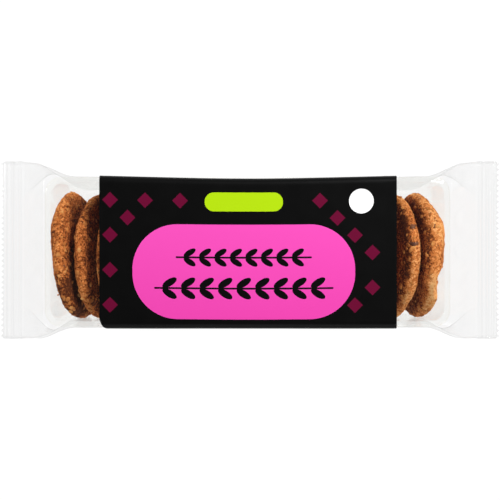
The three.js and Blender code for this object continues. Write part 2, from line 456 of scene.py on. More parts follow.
def clear_sheet(name, tint, edge_tint, haze, mirror, gloss, mark_size):
    """Clear plastic too thin to bend light: darker along its slopes, with a mirror and a little milk.

    Plies that are pressed together have no air between them, so the inner ones hardly show. In the
    crimped band, lines of painted shade stand in for the crimp's ridges.
    """
    material, tree = new_material(name)
    place = add(tree, "TexCoord").outputs["Object"]
    stretched = add(tree, "Mapping", {"Vector": place, "Scale": (MARK_STRETCH, 1, 1)})
    marks = add(tree, "TexNoise", {"Vector": stretched, "Scale": per_metre(mark_size), "Detail": 3})
    ripple = add(tree, "Bump", {"Height": marks, "Strength": RIPPLE, "Distance": 0.2 * MM})
    pressed = add(tree, "Attribute", attribute_name="pressed").outputs["Fac"]
    loose = add(tree, "Math", {0: 1, 1: pressed}, operation="SUBTRACT")
    facing = add(tree, "LayerWeight", {"Blend": 0.5, "Normal": ripple})
    steep = add(tree, "Math", {0: facing.outputs["Facing"], 1: FRESNEL_POWER}, operation="POWER")
    mirrored = add(tree, "Math", {0: steep, 1: FRESNEL_RISE, 2: mirror}, operation="MULTIPLY_ADD")
    shown = add(tree, "Math", {0: mirrored, 1: loose}, operation="MULTIPLY")
    milk = add(tree, "MapRange", {"Value": marks, "To Min": haze * 0.5, "To Max": haze * 1.5})
    slant = add(tree, "Math", {0: facing.outputs["Facing"], 1: SLANT_POWER}, operation="POWER")
    parts = add(tree, "SeparateXYZ", {"Vector": place})
    # painted shade: darker lines across the crimped band, standing in for its ridges
    ribs = add(tree, "TexNoise", {
        "W": parts.outputs["X"], "Scale": per_metre(RIB_SPACING), "Detail": 1,
    }, noise_dimensions="1D")
    rib = add(tree, "MapRange", {
        "Value": ribs, "From Min": RIB_NOISE[0], "From Max": RIB_NOISE[1], "To Max": RIB_PAINTED_SHADE,
    })
    along = add(tree, "Math", {0: parts.outputs["X"]}, operation="ABSOLUTE")
    in_seal = add(tree, "Math", {0: along, 1: seal_start * MM}, operation="GREATER_THAN")
    denser = add(tree, "Math", {0: rib, 1: in_seal, 2: slant}, operation="MULTIPLY_ADD")
    depth = add(tree, "Mix", {
        "Factor": denser, "A": srgb(tint), "B": srgb(edge_tint),
    }, data_type="RGBA")
    tinted = add(tree, "Mix", {"Factor": loose, "A": srgb("#ffffff"), "B": depth}, data_type="RGBA")
    through = add(tree, "BsdfTransparent", {"Color": tinted})
    gloss_shader = add(tree, "BsdfPrincipled", {
        "Base Color": srgb("#ffffff"), "Metallic": 1, "Roughness": gloss, "Normal": ripple,
    })
    milky = add(tree, "BsdfPrincipled", {"Base Color": srgb("#ffffff"), "Roughness": 0.5})
    clear = add(tree, "MixShader", {"Fac": milk, 1: through, 2: milky})
    surface = add(tree, "MixShader", {"Fac": shown, 1: clear, 2: gloss_shader})
    set_surface(tree, surface)
    return material


film_material = clear_sheet("clear_polypropylene_film", FILM_TINT, FILM_EDGE_TINT, FILM_HAZE, FILM_MIRROR,
                            FILM_GLOSS, STRIATION)
wrapper = to_object("wrapper", wrapper_mesh(), film_material)
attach(wrapper, "root")
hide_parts("film_wrap")

# The back seam. The two edges of the film meet under the pack, are welded face to face by ribbed
# wheels, and the fin is laid over flat in the shallow hollow along the tray's base.

SEAM_HALF = 5
SEAM_PLIES = 0.12
SEAM_RIB = 1.6
SEAM_RIB_HEIGHT = 0.1
SEAM_RIB_STEPS = 6
SEAM_ROWS = 10
SEAM_SAG = 0.12


def seam_mesh():
    low_end = min(RIM_LEFT, RIM_RIGHT) - PACK_HIGH.z * END_LEAN
    columns = round(2 * low_end / (SEAM_RIB / SEAM_RIB_STEPS))

    def place(i, j):
        x = mix(-low_end, low_end, i / columns)
        y = mix(-SEAM_HALF, SEAM_HALF, j / SEAM_ROWS)
        rib = SEAM_RIB_HEIGHT * sin(2 * pi * x / SEAM_RIB) * ease(SEAM_HALF - abs(y), 0, 1)
        sag = SEAM_SAG * noise.noise(Vector((x / 15, y / 6, 0)))
        return Vector((x, Station(x).centre + y, GROOVE_DEPTH / 2 + rib + sag))

    bm = grid_sheet(columns, SEAM_ROWS, place)
    bmesh.ops.solidify(bm, geom=bm.faces[:], thickness=SEAM_PLIES)
    bmesh.ops.recalc_face_normals(bm, faces=bm.faces)
    return bm


back_seam = to_object("back_seam", seam_mesh(), film_material)
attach(back_seam, "root")
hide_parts("film_wrap")

# The label. A satin printed plastic strip, stuck on over the pack's top and down its +Y side, with
# three rounded corners. Its print is a black ground with a pink field and plain grain shapes.

LABEL_LEFT = -73.1
LABEL_RIGHT = 71.2
LABEL_OUT = 0.45  # of its face over the film's outer form
LABEL_THICKNESS = 0.25
LABEL_CORNER = 8
LABEL_SMALL_CORNER = 2
LABEL_FRONT_DROP = 0.8
LABEL_BACK_DROP = 42
LABEL_COLUMNS = 90
LABEL_CROWDING = 0.9  # how much closer the columns stand at its two ends, from 0 to 1
LABEL_ROWS = 120
LABEL_LIFT = 0.06  # how unevenly it lies
UNPRINTED = (1, 1)  # a place on the print's map far outside the print, for the label's back


def wrap_point(x, along, out):
    """A place at a distance along the section from the top's middle, moved out from the film."""
    s = Station(x)
    side = copysign(1, along)
    past = abs(along) - s.flat
    if past <= 0:
        return Vector((x, s.centre + along, s.top + out))
    radius = s.edge + out
    if past <= s.bend:
        turn = past / s.edge
        y = s.centre + side * (s.flat + radius * sin(turn))
        return Vector((x, y, s.top - s.edge + radius * cos(turn)))
    drop = past - s.bend
    y = s.centre + side * (s.top_half + out - s.lean * drop)
    return Vector((x, y, s.top - s.edge - drop))


def corner_cut(radius, distance):
    """How far a rounded corner takes a long edge in, at a distance from the label's end."""
    from_arc = min(max(radius - distance, 0), radius)
    return radius - sqrt(radius ** 2 - from_arc ** 2)


def label_mesh():
    def span(x):
        """Where the label's two long edges lie at this place along it, as distances from the middle."""
        s = Station(x)
        reach = s.flat + s.bend
        left, right = x - LABEL_LEFT, LABEL_RIGHT - x
        front = corner_cut(LABEL_CORNER, left) + corner_cut(LABEL_SMALL_CORNER, right)
        back = corner_cut(LABEL_CORNER, left) + corner_cut(LABEL_CORNER, right)
        return -(reach + LABEL_FRONT_DROP - front), reach + LABEL_BACK_DROP - back

    def along(i, j):
        share = i / LABEL_COLUMNS
        crowded = share - sin(2 * pi * share) / (2 * pi) * LABEL_CROWDING
        x = mix(LABEL_LEFT, LABEL_RIGHT, crowded)
        front, back = span(x)
        return x, mix(front, back, j / LABEL_ROWS)

    def place(i, j):
        x, distance = along(i, j)
        lift = LABEL_LIFT * noise.noise(Vector((x / 30, distance / 22, 4.2)))
        return wrap_point(x, distance, LABEL_OUT - LABEL_LIFT + lift)

    bm = grid_sheet(LABEL_COLUMNS, LABEL_ROWS, place)
    print_map = bm.loops.layers.uv.new("print")
    bm.verts.index_update()
    for vert in bm.verts:
        j, i = divmod(vert.index, LABEL_COLUMNS + 1)
        x, distance = along(i, j)
        for loop in vert.link_loops:
            loop[print_map].uv = (x * MM, distance * MM)
    bmesh.ops.solidify(bm, geom=bm.faces[:], thickness=LABEL_THICKNESS)
    bmesh.ops.recalc_face_normals(bm, faces=bm.faces)
    for face in bm.faces:
        if face.normal.dot(face.calc_center_median() - Vector((0, 0, seal_height))) < 0:
            for loop in face.loops:
                loop[print_map].uv = UNPRINTED
    return bm


INK_BLACK = "#050505"
# The pink ink, with painted light: lighter towards the label's back edge, darker towards its front.
INK_PINK_PAINTED_LIGHTER = "#dd48a9"
INK_PINK_PAINTED_DARKER = "#d73e9f"
INK_PLUM = "#5f062b"
INK_LIME = "#a2c80b"
INK_WHITE = "#ececec"


def shape_mask(tree, place, centre, half, corner):
    """1 inside a box with rounded corners on the print's map, and 0 outside."""
    off = add(tree, "VectorMath", {0: place, 1: (centre[0] * MM, centre[1] * MM, 0)},
              operation="SUBTRACT")
    size = add(tree, "VectorMath", {0: off}, operation="ABSOLUTE")
    inner = ((half[0] - corner) * MM, (half[1] - corner) * MM, 0)
    past = add(tree, "VectorMath", {0: size, 1: inner}, operation="SUBTRACT")
    out = add(tree, "VectorMath", {0: past, 1: (0, 0, 0)}, operation="MAXIMUM")
    gap = add(tree, "VectorMath", {0: out}, operation="LENGTH")
    return add(tree, "Math", {0: gap, 1: corner * MM}, operation="LESS_THAN")


def inked(tree, under, mask, ink):
    return add(tree, "Mix", {"Factor": mask, "A": under, "B": ink}, data_type="RGBA")


PINK_CENTRE, PINK_HALF, PINK_CORNER = (-3, -9), (54, 23), 22
LIME_CENTRE, LIME_HALF, LIME_CORNER = (-3, 25), (19, 4.6), 4.5
DISC_CENTRE, DISC_RADIUS = (54, 25), 6
DIAMOND_PITCH = 12
DIAMOND_HALF = 2.7
DIAMOND_CLEAR = 4.5  # between the diamonds' middles and what they are printed round
TOP_FIELD = (-1, 0), (67, 31.5), 1
SIDE_FIELD = (-1, 58), (62, 13), 1
PANEL_CENTRE, PANEL_HALF, PANEL_CORNER = (-22, 58), (34, 10), 2.5
EARS = [((-3, -2), 30, 7.5), ((-3, -17), 40.5, 9)]  # centre, half length, grain pitch
GRAIN_TURN = radians(32)
GRAIN_PLACE = (0.5, 0.3)  # of a grain's middle, as shares of the pitch
GRAIN_HALF = (0.44, 0.19)
STALK_HALF = 0.45
STALK_PAST = 3  # how far the stalk runs past its grains
STALK_CORNER = 0.4


def grain_row(tree, place, centre, half_length, pitch):
    """A row of grains in pairs along a stalk, as on an ear of oats."""
    start = Vector(((centre[0] - half_length) * MM, centre[1] * MM, 0))
    local = add(tree, "VectorMath", {0: place, 1: start}, operation="SUBTRACT")
    parts = add(tree, "SeparateXYZ", {"Vector": local})
    step = add(tree, "Math", {0: parts.outputs["X"], 1: pitch * MM}, operation="FLOORED_MODULO")
    side = add(tree, "Math", {0: parts.outputs["Y"]}, operation="ABSOLUTE")
    cell = add(tree, "CombineXYZ", {"X": step, "Y": side})
    turned = add(tree, "Mapping", {
        "Vector": cell,
        "Location": (pitch * GRAIN_PLACE[0] * MM, pitch * GRAIN_PLACE[1] * MM, 0),
        "Rotation": (0, 0, GRAIN_TURN),
        "Scale": (pitch * GRAIN_HALF[0] * MM, pitch * GRAIN_HALF[1] * MM, 1),
    }, vector_type="TEXTURE")
    reach = add(tree, "VectorMath", {0: turned}, operation="LENGTH")
    grain = add(tree, "Math", {0: reach, 1: 1}, operation="LESS_THAN")
    limits = shape_mask(tree, place, centre, (half_length, pitch), STALK_CORNER)
    stalk = shape_mask(tree, place, centre, (half_length + STALK_PAST, STALK_HALF), STALK_CORNER)
    grains = add(tree, "Math", {0: grain, 1: limits}, operation="MULTIPLY")
    return add(tree, "Math", {0: grains, 1: stalk}, operation="MAXIMUM")


def diamonds(tree, place):
    """Small squares that stand on their corners in staggered rows, and the middle of the nearest one."""
    lattice = {"Rotation": (0, 0, radians(45)), "Scale": (DIAMOND_PITCH * MM,) * 3}
    turned = add(tree, "Mapping", {"Vector": place, **lattice}, vector_type="TEXTURE")
    cell = add(tree, "VectorMath", {0: turned}, operation="FLOOR")
    middle = add(tree, "VectorMath", {0: cell, 1: (0.5, 0.5, 0)}, operation="ADD")
    off = add(tree, "VectorMath", {0: turned, 1: middle}, operation="SUBTRACT")
    size = add(tree, "VectorMath", {0: off}, operation="ABSOLUTE")
    parts = add(tree, "SeparateXYZ", {"Vector": size})
    larger = add(tree, "Math", {0: parts.outputs["X"], 1: parts.outputs["Y"]}, operation="MAXIMUM")
    inside = add(tree, "Math", {0: larger, 1: DIAMOND_HALF / DIAMOND_PITCH}, operation="LESS_THAN")
    back = add(tree, "Mapping", {"Vector": middle, **lattice}, vector_type="POINT")
    return inside, back


def grown(shape, by):
    centre, half, corner = shape
    return centre, (half[0] + by, half[1] + by), corner + by


LABEL_ROUGHNESS = 0.34, 0.44
LABEL_RUB = 9  # between the places that handling has dulled
LABEL_GRAIN = 0.5


def printed_label_material():
    """Printed polypropylene: flat inks under a satin face that blurs what it mirrors. The pink field is
    painted lighter towards its back edge, as painted light.
    """
    material, tree = new_material("satin_printed_polypropylene_label")
    place = add(tree, "UVMap", uv_map="print")
    parts = add(tree, "SeparateXYZ", {"Vector": place})
    # painted light: the pink grows lighter from the field's front edge to its back edge
    fade = add(tree, "MapRange", {
        "Value": parts.outputs["Y"],
        "From Min": (PINK_CENTRE[1] - PINK_HALF[1]) * MM,
        "From Max": (PINK_CENTRE[1] + PINK_HALF[1]) * MM,
    })
    pink = add(tree, "Mix", {
        "Factor": fade, "A": srgb(INK_PINK_PAINTED_DARKER), "B": srgb(INK_PINK_PAINTED_LIGHTER),
    }, data_type="RGBA")
    colour = srgb(INK_BLACK)
    shapes = [
        ((PINK_CENTRE, PINK_HALF, PINK_CORNER), pink),
        ((LIME_CENTRE, LIME_HALF, LIME_CORNER), srgb(INK_LIME)),
        ((DISC_CENTRE, (DISC_RADIUS, DISC_RADIUS), DISC_RADIUS), srgb(INK_WHITE)),
        ((PANEL_CENTRE, PANEL_HALF, PANEL_CORNER), srgb(INK_WHITE)),
    ]
    diamond, middle = diamonds(tree, place)
    for field in (TOP_FIELD, SIDE_FIELD):
        within = shape_mask(tree, middle, *field)
        mask = add(tree, "Math", {0: diamond, 1: within}, operation="MULTIPLY")
        colour = inked(tree, colour, mask, srgb(INK_PLUM))
    for shape, _ in shapes:
        near = shape_mask(tree, middle, *grown(shape, DIAMOND_CLEAR))
        colour = inked(tree, colour, near, srgb(INK_BLACK))
    for shape, ink in shapes:
        colour = inked(tree, colour, shape_mask(tree, place, *shape), ink)
    for centre, half_length, pitch in EARS:
        ear = grain_row(tree, place, centre, half_length, pitch)
        colour = inked(tree, colour, ear, srgb(INK_BLACK))
    rub = add(tree, "TexNoise", {"Vector": place, "Scale": per_metre(LABEL_RUB), "Detail": 4})
    satin = add(tree, "MapRange", {
        "Value": rub, "To Min": LABEL_ROUGHNESS[0], "To Max": LABEL_ROUGHNESS[1],
    })
    grain = add(tree, "TexNoise", {"Vector": place, "Scale": per_metre(LABEL_GRAIN), "Detail": 2})
    relief = add(tree, "Bump", {"Height": grain, "Strength": 0.05, "Distance": 0.05 * MM})
    shader = add(tree, "BsdfPrincipled", {
        "Base Color": colour,
        "Roughness": satin,
        "IOR": 1.49,
        "Specular IOR Level": 0.11,
        "Normal": relief,
    })
    set_surface(tree, shader)
    return material


label = to_object("printed_label", label_mesh(), printed_label_material())
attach(label, "root")
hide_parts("label")

# The tray. Clear PET sheet, drawn down hot over a mould: a rolled rim, fluted walls that lean in
# towards the base, and a raised strip along the base that stiffens it.

RIM_BAND = 3  # from its outer edge to the wall
RIM_CORNER, RIM_INNER_CORNER, WALL_CORNER, FOOT_CORNER = 8, 6.4, 6, 5.5  # radii on the plan
RIM_EDGE = 0.9  # radius of the rim's outer edge
RIM_LIP = 4  # how far the rim's outer edge is turned down
RIM_INNER_EDGE = 0.5
TRAY_SHEET = 0.35
TRAY_GAP = 0.4  # between the tray and the film's outer form
RIM_BELOW = 2.4  # of the rim under the pack's top, which lies on the cookies
WALL_DRAFT = 1.6  # how far the long walls lean in, from rim to base
WALL_BELOW = 2  # of the wall's top under the rim's
TRAY_END_LEAN = tan(radians(9))
FOOT_RADIUS = 6
END_WALL = 84, 6, 0.9  # points along it, pitch and depth of its flutes
SIDE_WALL = 128, 12, 0.7
FLUTE_FADE = 0.06  # of a wall's length, at each of its corners
CORNER_POINTS = 12
RIM_STEPS, INNER_STEPS, WALL_STEPS_DOWN, FOOT_STEPS = 4, 3, 12, 5
# half width and rise of each loop round the raised strip
STIFFENER = [(GROOVE_HALF + 3, 0), (GROOVE_HALF + 1, 0.8), (GROOVE_HALF - 1, 0.9)]

tray_left = -RIM_LEFT + TRAY_GAP
tray_right = RIM_RIGHT - TRAY_GAP
tray_half = RIM_WIDTH / 2 - TRAY_GAP
tray_top = pack_top - RIM_BELOW
tray_floor = FILM_SKIN + TRAY_GAP


def tray_loop(inset, side_inset, corner, z, flute=0.0, end_lean=0.0):
    """Places round a rectangle with rounded corners, inside the rim's outer edge."""
    left, right = tray_left + inset + end_lean, tray_right - inset - end_lean
    half = tray_half - side_inset
    x1, x2, y2 = left + corner, right - corner, half - corner
    middles = [(x2, y2), (x1, y2), (x1, -y2), (x2, -y2)]
    points = []
    for turns, (cx, cy) in enumerate(middles):
        for i in range(CORNER_POINTS + 1):
            turn = (turns + i / CORNER_POINTS) * pi / 2
            points.append((cx + corner * cos(turn), cy + corner * sin(turn)))
        last = points[-1]
        next_x, next_y = middles[(turns + 1) % 4]
        turn = (turns + 1) * pi / 2
        target = next_x + corner * cos(turn), next_y + corner * sin(turn)
        on_side = turns % 2 == 0
        steps, pitch, depth = SIDE_WALL if on_side else END_WALL
        for i in range(1, steps):
            x, y = mix(last[0], target[0], i / steps), mix(last[1], target[1], i / steps)
            fade = ease(min(i, steps - i) / steps, 0, FLUTE_FADE)
            crest = max(cos(2 * pi * (x if on_side else y) / pitch), -0.2)
            wave = depth * flute * fade * crest
            if on_side:
                y -= copysign(wave, y)
            else:
                x -= copysign(wave, x)
            points.append((x, y))
    return [Vector((x, TRAY_SHIFT + y, z)) for x, y in points]


def tray_loops():
    """Loops down the tray: the lip, the rim, its inner edge, the wall, its foot and the raised strip."""
    loops = [tray_loop(0, 0, RIM_CORNER, tray_top - RIM_LIP)]
    for i in range(RIM_STEPS + 1):
        turn = i / RIM_STEPS * pi / 2
        inset, drop = RIM_EDGE * (1 - cos(turn)), RIM_EDGE * (1 - sin(turn))
        loops.append(tray_loop(inset, inset, RIM_CORNER - inset, tray_top - drop))
    for i in range(INNER_STEPS + 1):
        turn = i / INNER_STEPS * pi / 2
        inset = RIM_BAND - RIM_INNER_EDGE * (1 - sin(turn))
        drop = RIM_INNER_EDGE * (1 - cos(turn))
        loops.append(tray_loop(inset, inset, RIM_INNER_CORNER, tray_top - drop))
    wall_top, wall_foot = tray_top - WALL_BELOW, tray_floor + FOOT_RADIUS
    for i in range(WALL_STEPS_DOWN + 1):
        share = i / WALL_STEPS_DOWN
        z = mix(wall_top, wall_foot, share)
        lean = (tray_top - z) * TRAY_END_LEAN
        side = RIM_BAND + WALL_DRAFT * share ** 2
        flute = ease(share, 0, 0.12) * (1 - ease(share, 0.85, 1))
        loops.append(tray_loop(RIM_BAND, side, mix(WALL_CORNER, FOOT_CORNER, share), z, flute, lean))
    lean = (tray_top - wall_foot) * TRAY_END_LEAN
    for i in range(1, FOOT_STEPS + 1):
        turn = i / FOOT_STEPS * pi / 2
        z = wall_foot - FOOT_RADIUS * sin(turn)
        inset = RIM_BAND + FOOT_RADIUS * (1 - cos(turn))
        loops.append(tray_loop(inset, inset + WALL_DRAFT, FOOT_CORNER, z, 0, lean))
    for reach, rise in STIFFENER:
        inset = RIM_BAND + FOOT_RADIUS + 4
        loops.append(tray_loop(inset, tray_half - reach, 4, tray_floor + rise, 0, lean))
    return loops


def tray_mesh():
    loops = tray_loops()
    around = len(loops[0])
    bm = grid_sheet(around, len(loops) - 1, lambda i, j: loops[j][i % around])
    bmesh.ops.remove_doubles(bm, verts=bm.verts, dist=SAME_PLACE)
    floor_height = loops[-1][0].z
    rim = [edge for edge in bm.edges if edge.is_boundary]
    bmesh.ops.edgeloop_fill(bm, edges=[e for e in rim if abs(e.verts[0].co.z - floor_height) < 0.01])
    bmesh.ops.recalc_face_normals(bm, faces=bm.faces)
    bmesh.ops.solidify(bm, geom=bm.faces[:], thickness=TRAY_SHEET)
    bmesh.ops.recalc_face_normals(bm, faces=bm.faces)
    return bm


PET_TINT = "#fffffe"
PET_EDGE_TINT = "#fafaf9"
PET_HAZE = 0.003
PET_MIRROR = 0.015  # of each of the sheet's two faces
PET_GLOSS = 0.07
PET_MARKS = 5

pet = clear_sheet("clear_thermoformed_pet", PET_TINT, PET_EDGE_TINT, PET_HAZE, PET_MIRROR, PET_GLOSS,
                  PET_MARKS)
tray = to_object("tray", tray_mesh(), pet)
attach(tray, "root")
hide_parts("film_wrap")

# The cookies. Rolled oats, flour, brown sugar and butter, dropped as balls that spread and crack in
# the oven. They stand on edge in a row, and lean on the tray's ends, so that the row fans out.

COOKIES = 18
COOKIE_DOME = 0.8
ROUND_EDGE = 4.8
MIDDLE_RADIUS = 31.9
MIDDLE_THICKNESS = 7.8
END_COOKIES = {
    # number: place along and across the pack, lean, turn, radius, thickness, how much paler it is drawn:
    # partly its own bake, partly painted light at the right end and painted shade at the left end
    0: (-87, -3.2, -12.5, 4.1, 31.8, 7.4, -0.14),
    1: (-74.1, -3.1, -18, 0.4, 31.9, 6.4, -0.12),
    2: (-63.2, -2.4, -17, -1.5, 31.9, 7.4, -0.02),
    15: (58.2, -2.4, 17, 1.5, 31.9, 7.4, 0),
    16: (70.6, -3.2, 21, -2, 31.2, 7.2, 0.36),
    17: (84.1, -2.6, 13.5, 2.3, 31, 8.6, 0.55),
}
CHIPS = {
    # number: middle and radius of a ball that bites a chip out of its edge
    17: [((106, -18.7, 56), 16), ((97.8, -7, 60), 4)],
}
BULGES = {
    # number: middle and radius of a stretch of its edge that spread further, and how far along X
    17: ((93, 12, 58), 20, 2.2),
    0: ((-97, 12, 58), 14, -1.1),
}
PAINTED_LIGHT_PATCHES = {
    # number: middle and radius of a patch, and how much lighter it is painted: painted light on the right
    # end cookie, painted shade on the left end cookie
    17: ((85, -20, 55), 14, 0.75),
    0: ((-86, -26, 50), 22, -0.65),
}
INNER_FACE_PAINTED_SHADE = 0.45, 1.2  # painted shade on the faces that turn towards the middle of the row, where the neighbours shade them, by half
INNER_FACE_SHADE_FROM = 0.2, 0.48  # where that sets in, as shares of the thickness
STAND_ON = tray_floor + GROOVE_DEPTH + TRAY_SHEET
SETTLED = 0.2  # how far their rough edges let them sink
COOKIE_Y = -1.9
PRESSED_FLAT = pack_top - 0.45  # the film holds the cookies' tops down to this height
LUMP_SIZE, CRUMB_SIZE, GRIT_SIZE, PIT_SIZE = 11, 3, 0.9, 5
LUMP_OUT, CRUMB_OUT, GRIT_OUT, PIT_IN = 0.6, 0.16, 0.28, 0.35
# painted light where the dough stands out and painted shade in its pits, from the same relief
LUMP_PAINTED_LIGHT, CRUMB_PAINTED_LIGHT, GRIT_PAINTED_LIGHT, PIT_PAINTED_SHADE = 0.35, 0.15, 0.3, 0.2
EDGE_WANDER = 1.2  # how far the edge strays from a circle


class Cookie:
    """One cookie's sizes and place in the row. The ones at the ends follow the tray's sloping ends."""

    def __init__(self, number):
        draw = random.Random(200 + number)
        self.number = number
        self.at_end = number in END_COOKIES
        if self.at_end:
            x, y, lean, turn, self.radius, self.thickness, self.bake_tone_and_painted_light = END_COOKIES[number]
        else:
            first, last = END_COOKIES[2], END_COOKIES[15]
            share = (number - 2) / 13
            x, lean = mix(first[0], last[0], share), mix(first[2], last[2], share)
            y, turn = COOKIE_Y + draw.uniform(-0.5, 0.5), draw.uniform(-2, 2)
            self.radius, self.thickness = MIDDLE_RADIUS, MIDDLE_THICKNESS
            self.bake_tone_and_painted_light = draw.uniform(-0.08, 0.08)
        tilt = radians(lean)
        z = STAND_ON + self.radius * cos(tilt) + self.thickness / 4 * abs(sin(tilt)) - SETTLED
        place = Matrix.Translation((x, y, z))
        yaw = Matrix.Rotation(radians(turn), 4, "Z")
        roll = Matrix.Rotation(draw.uniform(0, 2 * pi), 4, "X")
        self.pose = place @ yaw @ Matrix.Rotation(tilt, 4, "Y") @ roll
        self.spin_steps = 400 if self.at_end else 200
        self.edge_steps = 26 if self.at_end else 16

    def profile(self):
        """Half of a cookie's section, from the middle of one face round its edge to the other's."""
        flat = self.radius - ROUND_EDGE
        half = self.thickness / 2
        steps = self.edge_steps
        rings = [sin(i / steps * pi / 2) * 0.97 for i in range(steps)]
        face = [(flat * share, half + COOKIE_DOME * (1 - share ** 2)) for share in rings]
        turns = [pi / 2 - i / steps * pi for i in range(steps + 1)]
        edge = [(flat + ROUND_EDGE * cos(turn), half * sin(turn)) for turn in turns]
        return face + edge + [(radius, -x) for radius, x in reversed(face)]


def cookie_relief(co, seed):
    """How far the dough stands out here, by lumps, crumbs, grit and pits, and how much lighter it is
    painted: painted light where it stands out, painted shade in the pits.
    """
    place = co + seed
    lump = noise.noise(place / LUMP_SIZE)
    near, far = noise.voronoi(place / CRUMB_SIZE)[0][:2]
    crumb = min(far - near, 0.5) * 2 - 0.5
    grit = noise.noise(place / GRIT_SIZE)
    pit = ease(noise.noise(place / PIT_SIZE + Vector((31, 7, 3))), 0.3, 0.5)
    out = LUMP_OUT * lump + CRUMB_OUT * crumb + GRIT_OUT * grit - PIT_IN * pit
    return out, CRUMB_PAINTED_LIGHT * crumb + GRIT_PAINTED_LIGHT * grit - PIT_PAINTED_SHADE * pit + LUMP_PAINTED_LIGHT * lump


def scooped(bm, centre, radius):
    """Pushes what lies inside a ball out to its surface, which leaves a chip in an edge."""
    for vert in bm.verts:
        off = vert.co - Vector(centre)
        if off.length < radius:
            vert.co = Vector(centre) + off.normalized() * radius


def swollen(bm, centre, radius, move):
    """Moves what lies round a place along X, most in the middle."""
    for vert in bm.verts:
        vert.co.x += move * ease(radius - (vert.co - Vector(centre)).length, 0, radius)


def cookie_mesh(cookie):
    """A cookie in its place in the row, with how much lighter each place is painted kept in its relief
    attribute: painted light and shade from its relief and its place in the row, and its bake tone.
    """
    bm = bmesh.new()
    chain = [bm.verts.new((x, 0, radius)) for radius, x in cookie.profile()]
    edges = [bm.edges.new(pair) for pair in zip(chain, chain[1:])]
    bmesh.ops.spin(bm, geom=chain + edges, cent=(0, 0, 0), axis=(1, 0, 0), dvec=(0, 0, 0),
                   angle=2 * pi, steps=cookie.spin_steps, use_merge=True, use_duplicate=False)
    bmesh.ops.remove_doubles(bm, verts=bm.verts, dist=1e-3)
    bmesh.ops.recalc_face_normals(bm, faces=bm.faces)
    bm.normal_update()
    seed = Vector((17.3, 5.1, 9.7)) * cookie.number
    half_row = int(cookie.number >= COOKIES / 2)
    inward = (1, -1)[half_row]
    relief = bm.verts.layers.float.new("relief")
    moves = []
    for vert in bm.verts:
        out, shade = cookie_relief(vert.co, seed)
        # painted shade on the face that turns towards the middle of the row
        under = ease(vert.co.x * inward, *(cookie.thickness * share for share in INNER_FACE_SHADE_FROM))
        shade -= INNER_FACE_PAINTED_SHADE[half_row] * under
        around = Vector((0, vert.co.y, vert.co.z)).normalized()
        near_edge = min(vert.co.yz.length / cookie.radius, 1) ** 2
        spread_out = noise.noise(around * 1.3 + seed) * EDGE_WANDER * near_edge
        # the cookie's own paleness: its bake tone, with painted light on the right end's cookies and
        # painted shade on the left end's
        moves.append((vert, vert.normal * out + around * spread_out, shade + cookie.bake_tone_and_painted_light))
    for vert, move, shade in moves:
        vert.co += move
        vert[relief] = shade
    bmesh.ops.transform(bm, matrix=cookie.pose, verts=bm.verts)
    if cookie.number in BULGES:
        swollen(bm, *BULGES[cookie.number])
    # painted light and painted shade in a patch on each end cookie
    if cookie.number in PAINTED_LIGHT_PATCHES:
        centre, radius, painted_lighter = PAINTED_LIGHT_PATCHES[cookie.number]
        for vert in bm.verts:
            vert[relief] += painted_lighter * ease(radius - (vert.co - Vector(centre)).length, 0, radius * 0.6)
    for centre, radius in CHIPS.get(cookie.number, []):
        scooped(bm, centre, radius)
    for vert in bm.verts:
        vert.co.z = min(vert.co.z, PRESSED_FLAT)
    bm.normal_update()
    return bm


CRUST_STOPS = [(0, "#572a11"), (0.27, "#b9632b"), (0.6, "#e48f4a"), (0.95, "#f9bf7c")]
CRUST_GRIT = 0.55
CRUST_GRAIN = 0.95
CRUST_BAKE = 14  # between the places that browned more
RELIEF_TONE, GRIT_TONE, GRAIN_TONE, BAKE_TONE = 0.42, 1.8, 0.5, 0.75  # what each adds to the tone
TONE_LEVEL = -1.165  # brings their sum back to the stops


def baked_crust():
    """Baked dough: dull and gritty. Its dark brown in the cracks and straw yellow where it stands out
    are painted shade and painted light, read from the cookies' relief attribute.
    """
    material, tree = new_material("baked_oat_dough")
    place = add(tree, "TexCoord").outputs["Object"]
    relief = add(tree, "Attribute", attribute_name="relief").outputs["Fac"]
    grit = add(tree, "TexNoise", {
        "Vector": place, "Scale": per_metre(CRUST_GRIT), "Detail": 3, "Roughness": 0.8,
    })
    grain = add(tree, "TexVoronoi", {"Vector": place, "Scale": per_metre(CRUST_GRAIN)})
    each = add(tree, "SeparateColor", {"Color": grain.outputs["Color"]}).outputs["Red"]
    bake = add(tree, "TexNoise", {"Vector": place, "Scale": per_metre(CRUST_BAKE), "Detail": 2})
    tone = TONE_LEVEL
    layers = [(relief, RELIEF_TONE), (grit, GRIT_TONE), (each, GRAIN_TONE), (bake, BAKE_TONE)]
    for layer, share in layers:
        tone = add(tree, "Math", {0: layer, 1: share, 2: tone}, operation="MULTIPLY_ADD")
    ramp = add(tree, "ValToRGB", {"Fac": tone})
    set_stops(ramp, [(position, srgb(code)) for position, code in CRUST_STOPS])
    bump = add(tree, "Bump", {"Height": grit, "Strength": 1, "Distance": 0.6 * MM})
    shader = add(tree, "BsdfPrincipled", {
        "Base Color": ramp, "Roughness": 0.85, "Specular IOR Level": 0.1, "Normal": bump,
    })
    set_surface(tree, shader)
    return material


EDGE_BAND = 9  # width of a cookie's face that shows round its edge

